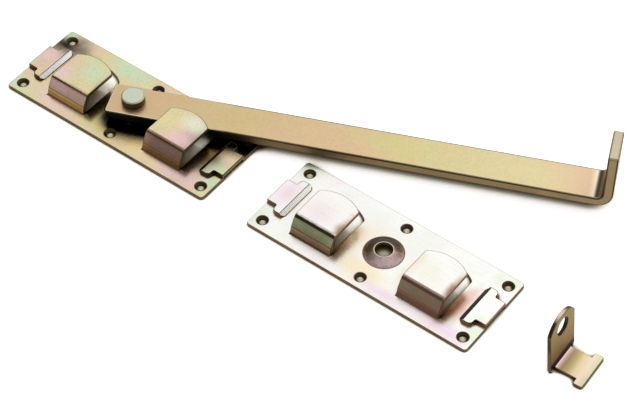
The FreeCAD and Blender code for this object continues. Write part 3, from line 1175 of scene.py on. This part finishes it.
@dataclass
class Studio:
    """Camera at the photo's angle, a sky with one bright side, soft lamps and the table."""

    target: Vector
    azimuth: float = math.radians(-37.216)
    elevation: float = math.radians(48.928)
    distance: float = 1.18084
    lens: float = 117.13
    sensor: float = 36.0
    clip: float = 20.0
    table_radius: float = 4.0
    table_sides: int = 96
    table_level: float = -0.02 * MM
    glows: tuple[Glow, Glow] = (Glow((-0.1, 0.42, 0.9), 0.35, 0.85),
                                Glow((0.76, 0.52, 0.39), 0.72, 0.95))
    dusk: Colour = srgb(168, 162, 152)
    paper: Colour = srgb(238, 238, 238)
    # Painted shade on the paper where pieces shut it in: dim, then dark brown under the hooks and
    # in the holes.
    dim: Colour = srgb(208, 198, 160)
    under: Colour = srgb(98, 80, 50)
    dimming: tuple[float, float] = (0.0, 0.35)
    darkening: tuple[float, float] = (0.15, 0.8)
    roughness: float = 0.9
    lift: float = 0.6
    # Reaches and shares of the painted shade: wide and leaning to the near side, close by, and in
    # holes from both sides.
    shaded: tuple[Limits, ...] = (
        Limits(0.02, 0.26, 0.74, (0.2, -0.7, 0.0)), Limits(0.008, 0.28, 0.6),
        Limits(0.004, 0.1, 0.5, (0.5, -0.7, 0.0)), Limits(0.004, 0.1, 0.5, (-0.5, 0.7, 0.0)))
    lamps: Sequence[Lamp] = ()

    def build(self) -> None:
        """Sets up everything round the latch."""
        self.camera()
        self.sky()
        for lamp in self.lamps:
            lamp.build(self.target)
        self.table()

    def sight(self) -> Vector:
        """Direction in which the camera looks."""
        flat = Vector((math.sin(self.azimuth), math.cos(self.azimuth), 0.0))
        return flat * math.cos(self.elevation) - Vector((0.0, 0.0, math.sin(self.elevation)))

    def camera(self) -> None:
        """Places the camera as it was when the photo was taken."""
        data = bpy.data.cameras.new("camera")
        data.sensor_width = self.sensor
        data.lens = self.lens
        data.clip_end = self.clip
        camera = linked("camera", data)
        sight = self.sight()
        camera.location = self.target - sight * self.distance
        across = Vector((math.cos(self.azimuth), -math.sin(self.azimuth), 0.0))
        turn = Matrix((across, across.cross(sight), -sight)).transposed()
        camera.rotation_euler = turn.to_euler()
        bpy.context.scene.camera = camera

    def sky(self) -> None:
        """Makes a sky that is bright overhead and beyond the latch, and dim on the near side."""
        world = bpy.data.worlds.new("sky")
        world.use_nodes = True
        bpy.context.scene.world = world
        wiring = Wiring(world.node_tree)
        place = wiring.add("ShaderNodeTexCoord")
        bright = wiring.maths("MAXIMUM", *(glow.share(wiring, place) for glow in self.glows))
        colour = wiring.blend(bright, self.dusk, srgb(255, 255, 255))
        background = wiring.add("ShaderNodeBackground", {"Color": colour, "Strength": 1.0})
        wiring.add("ShaderNodeOutputWorld", {"Surface": background})

    def table(self) -> None:
        """Lays the white table under the latch."""
        skin = bmesh.new()
        bmesh.ops.create_circle(skin, cap_ends=True, radius=self.table_radius,
                                segments=self.table_sides)
        mesh = bpy.data.meshes.new("table")
        skin.to_mesh(mesh)
        skin.free()
        for corner in mesh.vertices:
            corner.co += Vector((self.target.x, self.target.y, self.table_level))
        table = linked("table", mesh)
        mesh.materials.append(self.table_material())

    def table_material(self) -> bpy.types.Material:
        """White paper that the camera and reflections see a little brighter than it is lit, with
        painted shade where the pieces shut it in.

        Returns:
            The material.
        """
        material = bpy.data.materials.new("table")
        material.use_nodes = True
        wiring = Wiring(material.node_tree)
        path = wiring.add("ShaderNodeLightPath")
        seen = wiring.maths("ADD", path.outputs[Ray.CAMERA.value], path.outputs[Ray.GLOSSY.value])
        seen = wiring.maths("ADD", seen, path.outputs[Ray.TRANSMISSION.value], clamp=True)
        # Painted shade: how far the pieces shut the paper in, widely, close by, and in holes that
        # are shut from both sides.
        wide, near, before, behind = (CORNER_SHADE.share(wiring, limits)
                                      for limits in self.shaded)
        hole = wiring.maths("MINIMUM", before, behind)
        shut = wiring.maths("MAXIMUM", wide, wiring.maths("MAXIMUM", near, hole))
        # The paper's brightness for the camera is also cut where it is shut in, as painted shade.
        seen = wiring.maths("MULTIPLY", seen, wiring.maths("SUBTRACT", 1.0, shut))
        paper = wiring.blend(wiring.step(shut, *self.dimming), self.paper, self.dim)
        paper = wiring.blend(wiring.step(shut, *self.darkening), paper, self.under)
        shader = wiring.add("ShaderNodeBsdfPrincipled", {
            "Base Color": paper, "Roughness": self.roughness, "Specular IOR Level": 0.0,
            "Emission Color": wiring.blend(shut, srgb(255, 255, 255), self.dim),
            "Emission Strength": wiring.maths("MULTIPLY", seen, self.lift)})
        wiring.add("ShaderNodeOutputMaterial", {"Surface": shader})
        return material


def sheared(name: str, seed: float, **changes: object) -> CutZinc:
    """Sheared edge of one piece.

    Args:
        name: Start of the material's name.
        seed: Number that sets its clouds.
        **changes: Fields that aren't the usual ones.

    Returns:
        The finish.
    """
    # The pale colour is painted light on faces that look up.
    usual = {"tone": srgb(132, 108, 68), "dark": srgb(84, 70, 44), "pale": srgb(214, 200, 164),
             "roughness": 0.5, "relief": 0.3}
    return CutZinc(name + "_cut", seed, **{**usual, **changes})


def rim(name: str, seed: float, tone: Colour, pale: Colour) -> CutZinc:
    """Rounded edge of one piece, with its colour and the painted light it has where it faces up.
    """
    return CutZinc(name + "_rim", seed, tone=tone, dark=srgb(72, 60, 40), pale=pale,
                   roughness=0.42)


def scaled(stops: Sequence[tuple[float, Colour]]) -> Stops:
    """Turns stops given in millimetres into metres."""
    return tuple((place * MM, colour) for place, colour in stops)


def plate_dress(film: RolledZinc, bands: Stops, along: Stops, patch: Colour, outline: Colour,
                boss_low: float) -> Dress:
    """Finishes of a hook plate.

    Args:
        film: Finish of its flats, which gives the others their name and seed.
        bands: Painted shade and reflection of the hooks' fronts, by height.
        along: Colour laid over the fronts along the plate.
        patch: Stains on the hooks' fronts.
        outline: Colour painted on its rims where they face up, standing in for the light they
            catch.
        boss_low: How far the boss is shut in before painted shade darkens it.

    Returns:
        The plate's finishes, one for each kind of surface.
    """
    name, seed = film.name.removesuffix("_rolled"), film.seed
    # Painted highlight on pocket slopes that face the +X side, painted shade on those that face
    # the other way.
    slope = ((-0.7, srgb(255, 255, 252)), (0.1, srgb(255, 255, 252)), (0.35, srgb(34, 28, 22)),
             (0.7, srgb(30, 24, 18)))
    # Painted light on the near side of the boss's slope, painted shade on its far side.
    ring = ((-0.55, srgb(200, 180, 182)), (-0.2, srgb(146, 124, 116)), (0.05, srgb(112, 92, 74)),
            (0.3, srgb(92, 76, 60)), (0.55, srgb(72, 60, 46)))
    # Painted shade that turns the boss black green where other pieces shut it in.
    black = ((0, srgb(24, 30, 24, 0)), (0.5, srgb(24, 30, 24)), (1, srgb(14, 20, 16)))
    return Dress((
        film,
        sheared(name, seed),
        rim(name, seed, srgb(104, 86, 56), outline),
        FoldedZinc(name + "_front", seed, bands=bands, along=along, patch=patch,
                   grime_limits=Limits(0.009, 0.6, 0.98)),
        RaisedZinc(name + "_boss", seed, ring=ring, grime=black,
                   grime_limits=Limits(0.009, boss_low, min(1, boss_low + 0.4))),
        # Countersinks painted dark green, as the shade in the recess.
        CutZinc(name + "_sink", seed, tone=srgb(70, 66, 48), dark=srgb(44, 44, 32),
                pale=srgb(66, 64, 46), roughness=0.45),
        RaisedZinc(name + "_slope", seed, ring=slope, far=(-1, 0, 0), roughness=0.5,
                   metallic=0.3, grime_limits=Limits(0.009, 0.7, 1))))


def front_bands(top: Colour, crease: Colour, shoulder: tuple[Colour, Colour], wall: Colour,
                foot: Colour, line: float) -> Stops:
    """Colours of a hook's front from its foot to its top, painted as its shade and reflections.

    Args:
        top: Film at the top.
        crease: Painted shade along the creases.
        shoulder: Lower and upper colour of the shoulder, a painted reflection.
        wall: Colour of the wall, a painted reflection.
        foot: Painted shade along the line where the hook leaves the plate.
        line: Height of the dark line under the crease, in millimetres.

    Returns:
        Heights and their colours.
    """
    return scaled((
        (2.3, foot), (2.9, foot), (3.2, wall), (6.4, wall), (6.75, crease), (7, crease),
        (7.4, shoulder[0]), (9.5, shoulder[1]), (13.3 - line, shoulder[1]),
        (13.6 - line, crease), (13.5, crease), (13.75, top)))


def lever_plate_dress() -> Dress:
    """Finishes of the lever plate: yellow green and peach, with black-green shade.

    Returns:
        One finish for each kind of its surfaces.
    """
    pink, mint = srgb(230, 198, 196, 0.9), srgb(198, 220, 186, 0.85)
    film = RolledZinc(
        "lever_plate_rolled", 2, roughness=0.2, fleck=0.12, standing=srgb(120, 100, 66),
        clouds=((0.1, srgb(212, 212, 156)), (0.4, srgb(220, 208, 162)),
                (0.6, srgb(222, 202, 168)), (0.9, srgb(216, 192, 172))),
        stains=(
            # The first three patches are painted shadows: beyond the left pocket, between the
            # second hook and the right pocket, and beside the first hook. The rest are tints of
            # the film.
            StainOrShadow(-69, 17.5, 22, 13, srgb(8, 26, 18)),
            StainOrShadow(55.5, -3, 15, 22, srgb(26, 20, 20)),
            StainOrShadow(-19.5, -7, 6, 13, srgb(140, 92, 78, 0.9)),
            StainOrShadow(-73, 27, 8, 8, mint), StainOrShadow(-72, -25, 11, 8, mint),
            StainOrShadow(-22, 24, 18, 9, mint), StainOrShadow(-33, 2, 14, 13, mint),
            StainOrShadow(43, 5, 13, 9, srgb(232, 232, 206, 0.9)),
            StainOrShadow(29, -2, 10, 9, srgb(228, 214, 162, 0.7)),
            StainOrShadow(-47, -9, 9, 10, pink), StainOrShadow(43, -9, 14, 9, pink),
            StainOrShadow(53, -21, 26, 9, pink), StainOrShadow(-44, -22, 20, 7, pink),
            StainOrShadow(70, 6, 7, 8, srgb(240, 220, 198, 0.9)),
            StainOrShadow(-70, 5, 8, 8, pink), StainOrShadow(71, -15, 8, 14, mint),
            StainOrShadow(19, -20, 21, 9, srgb(234, 214, 158, 0.85))),
        # Painted shade: golden, purple brown, then black green, where the hooks, pockets and
        # lever shut a point in.
        grime=((0, srgb(206, 178, 112, 0)), (0.25, srgb(196, 150, 84, 0.8)),
               (0.5, srgb(112, 78, 66, 0.97)), (0.75, srgb(50, 42, 34)),
               (1, srgb(18, 22, 18))),
        grime_limits=Limits(0.014, 0.3, 0.74, (-0.8, 0.1, 0)),
        shadow=((0, srgb(196, 158, 84, 0)), (0.15, srgb(184, 144, 72, 0.6)),
                (0.3, srgb(64, 60, 44)), (0.5, srgb(20, 30, 25)),
                (1, srgb(12, 20, 17))),
        seam=srgb(44, 38, 28, 0.9))
    bands = front_bands(srgb(222, 212, 172), srgb(70, 54, 40),
                        (srgb(180, 150, 146), srgb(204, 172, 176)), srgb(214, 182, 116),
                        srgb(104, 84, 56), 0.5)
    # Painted shade of the lever laid over the second hook's front.
    dark = scaled(((15, srgb(96, 66, 52, 0)), (30, srgb(90, 62, 48, 0.7)),
                   (60, srgb(90, 60, 48, 0.75))))
    return plate_dress(film, bands, dark, srgb(150, 124, 74, 0.4), srgb(84, 68, 46), 0.2)


def keep_plate_dress() -> Dress:
    """Finishes of the keep plate: nearly white with pink, cream and a little mint.

    Returns:
        One finish for each kind of its surfaces.
    """
    pink, mint = srgb(238, 218, 228, 0.9), srgb(224, 236, 212, 0.9)
    film = RolledZinc(
        "keep_plate_rolled", 5, roughness=0.26, fleck=0.03, standing=srgb(120, 100, 66),
        clouds=((0.1, srgb(242, 244, 236)), (0.35, srgb(247, 246, 241)),
                (0.6, srgb(247, 242, 240)), (0.9, srgb(243, 238, 240))),
        stains=(
            StainOrShadow(107, -20, 11, 14, mint), StainOrShadow(109, 26, 11, 9, mint),
            StainOrShadow(253, -15, 8, 14, mint), StainOrShadow(251, 27, 11, 9, mint),
            StainOrShadow(140, -4, 17, 14, srgb(238, 220, 226, 0.6)),
            StainOrShadow(113, 3, 9, 14, pink),
            StainOrShadow(168, -1, 10, 18, srgb(246, 228, 206, 0.7)),
            StainOrShadow(181, -16, 22, 10, srgb(246, 230, 196, 0.9)),
            StainOrShadow(214, -4, 16, 12, srgb(238, 240, 222, 0.8)),
            StainOrShadow(198, -23, 20, 6, pink), StainOrShadow(240, -24, 20, 7, pink),
            StainOrShadow(203, -3, 7, 14, srgb(240, 222, 200, 0.8)),
            StainOrShadow(236, 4, 6, 12, srgb(236, 212, 206, 0.8)),
            # The last four patches are painted shadows, dark brown fading to golden, beside the
            # right sides of the two hooks.
            StainOrShadow(160, -5, 7, 15, srgb(232, 192, 138, 0.7)),
            StainOrShadow(158.5, -8, 5.5, 14, srgb(140, 98, 64, 0.95)),
            StainOrShadow(234.5, -5, 7, 15, srgb(216, 168, 140, 0.9)),
            StainOrShadow(232, -8, 5, 14, srgb(140, 94, 76, 0.95))),
        # Painted shade: golden, brown, then near black, where the hooks and pockets shut a point
        # in.
        grime=((0, srgb(240, 208, 160, 0)), (0.25, srgb(206, 156, 104, 0.85)),
               (0.5, srgb(124, 84, 64, 0.97)), (0.8, srgb(52, 42, 34)),
               (1, srgb(26, 24, 20))),
        grime_limits=Limits(0.013, 0.33, 0.76, (-0.8, -0.1, 0)),
        seam=srgb(64, 50, 38, 0.8))
    bands = front_bands(srgb(240, 232, 220), srgb(40, 34, 26),
                        (srgb(134, 140, 108), srgb(156, 160, 126)), srgb(178, 140, 114),
                        srgb(78, 66, 48), 1.3)
    mauve = scaled(((185, srgb(128, 98, 86, 0)), (200, srgb(128, 98, 86, 0.6)),
                    (235, srgb(122, 92, 80, 0.75))))
    return plate_dress(film, bands, mauve, srgb(94, 90, 64, 0.4), srgb(150, 124, 104), 0.6)


def lever_dress() -> Dress:
    """Finishes of the lever: copper at the pivot, then golden and cream, with painted shade on
    the bend and on its sides near the pivot.

    Returns:
        One finish for each kind of its surfaces.
    """
    # Tints along the bar; at the bend into the leg, a painted highlight, then painted shade on
    # the bend and the leg.
    along = scaled((
        (-15, srgb(206, 172, 138, 0.7)), (40, srgb(208, 174, 138, 0.6)),
        (110, srgb(210, 192, 142, 0.5)), (190, srgb(216, 200, 156, 0.5)),
        (250, srgb(214, 196, 158, 0.6)), (270, srgb(212, 184, 152, 0.8)),
        (273.6, srgb(240, 220, 200)), (274.6, srgb(44, 34, 24)),
        (275.6, srgb(52, 42, 28)), (276.4, srgb(132, 118, 84)),
        (285, srgb(140, 124, 88))))
    # Sides painted black green from the tail to about 52 mm, as the shade and dark reflection
    # between bar and plate; browner beyond.
    side = scaled((
        (-15, srgb(22, 30, 26)), (-10, srgb(26, 32, 28)),
        (0, srgb(44, 38, 28)), (8, srgb(24, 30, 26)), (52, srgb(26, 32, 28)),
        (70, srgb(70, 62, 44, 0.9)), (110, srgb(122, 102, 72, 0.7)),
        (200, srgb(136, 116, 84, 0.6)), (285, srgb(140, 124, 90, 0.7))))
    edge = scaled((
        (-15, srgb(84, 66, 44, 0)), (45, srgb(84, 66, 44, 0)),
        (60, srgb(84, 66, 44, 0.9)), (285, srgb(84, 66, 44, 0.6))))
    # The leg's cut end is painted paler, as light on a face that looks up.
    leg_end = scaled(((44.4, srgb(198, 184, 158, 0)), (45, srgb(198, 184, 158))))
    return Dress((
        RolledZinc("lever_rolled", 3, turn=LEVER_TURN, cloud_scale=12, along=along,
                   clouds=((0.1, srgb(208, 206, 150)), (0.5, srgb(218, 196, 142)),
                           (0.9, srgb(222, 186, 156))),
                   stains=(StainOrShadow(72, 2, 34, 14, srgb(206, 200, 132, 0.6)),
                           StainOrShadow(118, -3, 26, 12, srgb(222, 184, 150, 0.7)),
                           StainOrShadow(160, 3, 36, 14, srgb(210, 208, 140, 0.7)),
                           StainOrShadow(232, 0, 34, 14, srgb(224, 214, 162, 0.7))),
                   standing=srgb(150, 130, 88), fleck=0.2),
        sheared("lever", 3, turn=LEVER_TURN, along=side, rise=leg_end, tone=srgb(150, 122, 84),
                dark=srgb(104, 84, 54), pale=srgb(186, 172, 146)),
        # Its rims get a painted cream highlight where they face up.
        replace(rim("lever", 3, srgb(44, 40, 32), srgb(226, 208, 180)), turn=LEVER_TURN,
                along=edge, grime=())))


def rivet_dress() -> Dress:
    """Finishes of the pivot rivet: a pale crown over a dark side.

    Returns:
        One finish for each kind of its surfaces.
    """
    return Dress((
        RolledZinc("pivot_rivet_rolled", 7, standing=srgb(92, 82, 60),
                   clouds=((0.1, srgb(184, 202, 182)), (0.9, srgb(206, 210, 190)))),
        sheared("pivot_rivet", 7, tone=srgb(88, 78, 58), dark=srgb(58, 52, 38)),
        rim("pivot_rivet", 7, srgb(96, 84, 62), srgb(130, 120, 92))))


def bracket_dress(root: Vector) -> Dress:
    """Finishes of the bracket: a golden tongue with a pale head, an upright painted darker as
    shade, and painted shade and highlight on its root and arc.

    Args:
        root: Where the upright meets the tongue.

    Returns:
        The bracket's finishes.
    """
    # Along the tongue: a painted highlight on the bend at its root, then tints of the film.
    along = scaled((
        (0, srgb(250, 226, 220, 0)), (0.2, srgb(250, 226, 220)),
        (1.6, srgb(242, 210, 198)), (3.4, srgb(176, 142, 110, 0.8)),
        (7, srgb(200, 178, 120, 0.7)), (10, srgb(244, 222, 182, 0.6)),
        (14.5, srgb(248, 228, 214, 0.7)), (17, srgb(220, 222, 192, 0.7))))
    # Painted shade in the bend at the upright's root, then browner low on the upright.
    rise = scaled((
        (2.5, srgb(30, 24, 18, 0)), (2.8, srgb(30, 24, 18)), (6.2, srgb(30, 24, 18)),
        (7.4, srgb(128, 98, 66, 0.9)), (14, srgb(138, 106, 70, 0.7)),
        (26, srgb(140, 118, 74, 0))))
    # Painted shade up the arc's cut edge, then a painted highlight at its top.
    arc_shade_and_highlight = scaled((
        (15, srgb(70, 56, 38, 0)), (19, srgb(60, 48, 32)),
        (34.4, srgb(64, 52, 34)), (36.2, srgb(236, 220, 200)),
        (42, srgb(240, 228, 206))))
    return Dress((
        RolledZinc("tongue_bracket_rolled", 4, turn=BRACKET_TURN, start=tuple(root), along=along,
                   rise=rise, grime_limits=Limits(0.004, 0.38, 0.86),
                   clouds=((0.1, srgb(222, 218, 172)), (0.5, srgb(246, 226, 192)),
                           (0.9, srgb(234, 202, 182))),
                   standing=srgb(146, 130, 80), roughness=0.6, relief=0.05),
        sheared("tongue_bracket", 4, rise=arc_shade_and_highlight, tone=srgb(112, 90, 60), dark=srgb(62, 50, 34),
                pale=srgb(224, 214, 190)),
        rim("tongue_bracket", 4, srgb(84, 68, 44), srgb(130, 112, 80))))


def pieces() -> list[Piece]:
    """The latch's five pieces in their finishes.

    Returns:
        The pieces, which aren't built yet.
    """
    root = Vector((299.4 * MM, 0.6 * MM, 0.0))
    return [
        HookPlate("lever_plate", "lever_plate", lever_plate_dress()),
        PivotRivet("pivot_rivet", "lever_plate", rivet_dress()),
        Lever("lever", "lever", lever_dress()),
        HookPlate("keep_plate", "keep_plate", keep_plate_dress(),
                  centre=Vector((181.0 * MM, 1.2 * MM, 0.0))),
        TongueBracket("tongue_bracket", "tongue_bracket", bracket_dress(root), flat_angle=0.0,
                      root=root)]


def main() -> None:
    """Builds the latch and its studio."""
    logging.basicConfig(level=logging.INFO)
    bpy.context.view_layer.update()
    for piece in pieces():
        piece.build()
    lamps = [Lamp("far_window", (0.5, 1.5, 1.9), 1.6, 8.0)]
    Studio(Vector((132.327 * MM, 6.696 * MM, 0.0)), lamps=lamps).build()
    bpy.context.scene.view_settings.view_transform = "Standard"


if __name__ == "__main__":
    main()
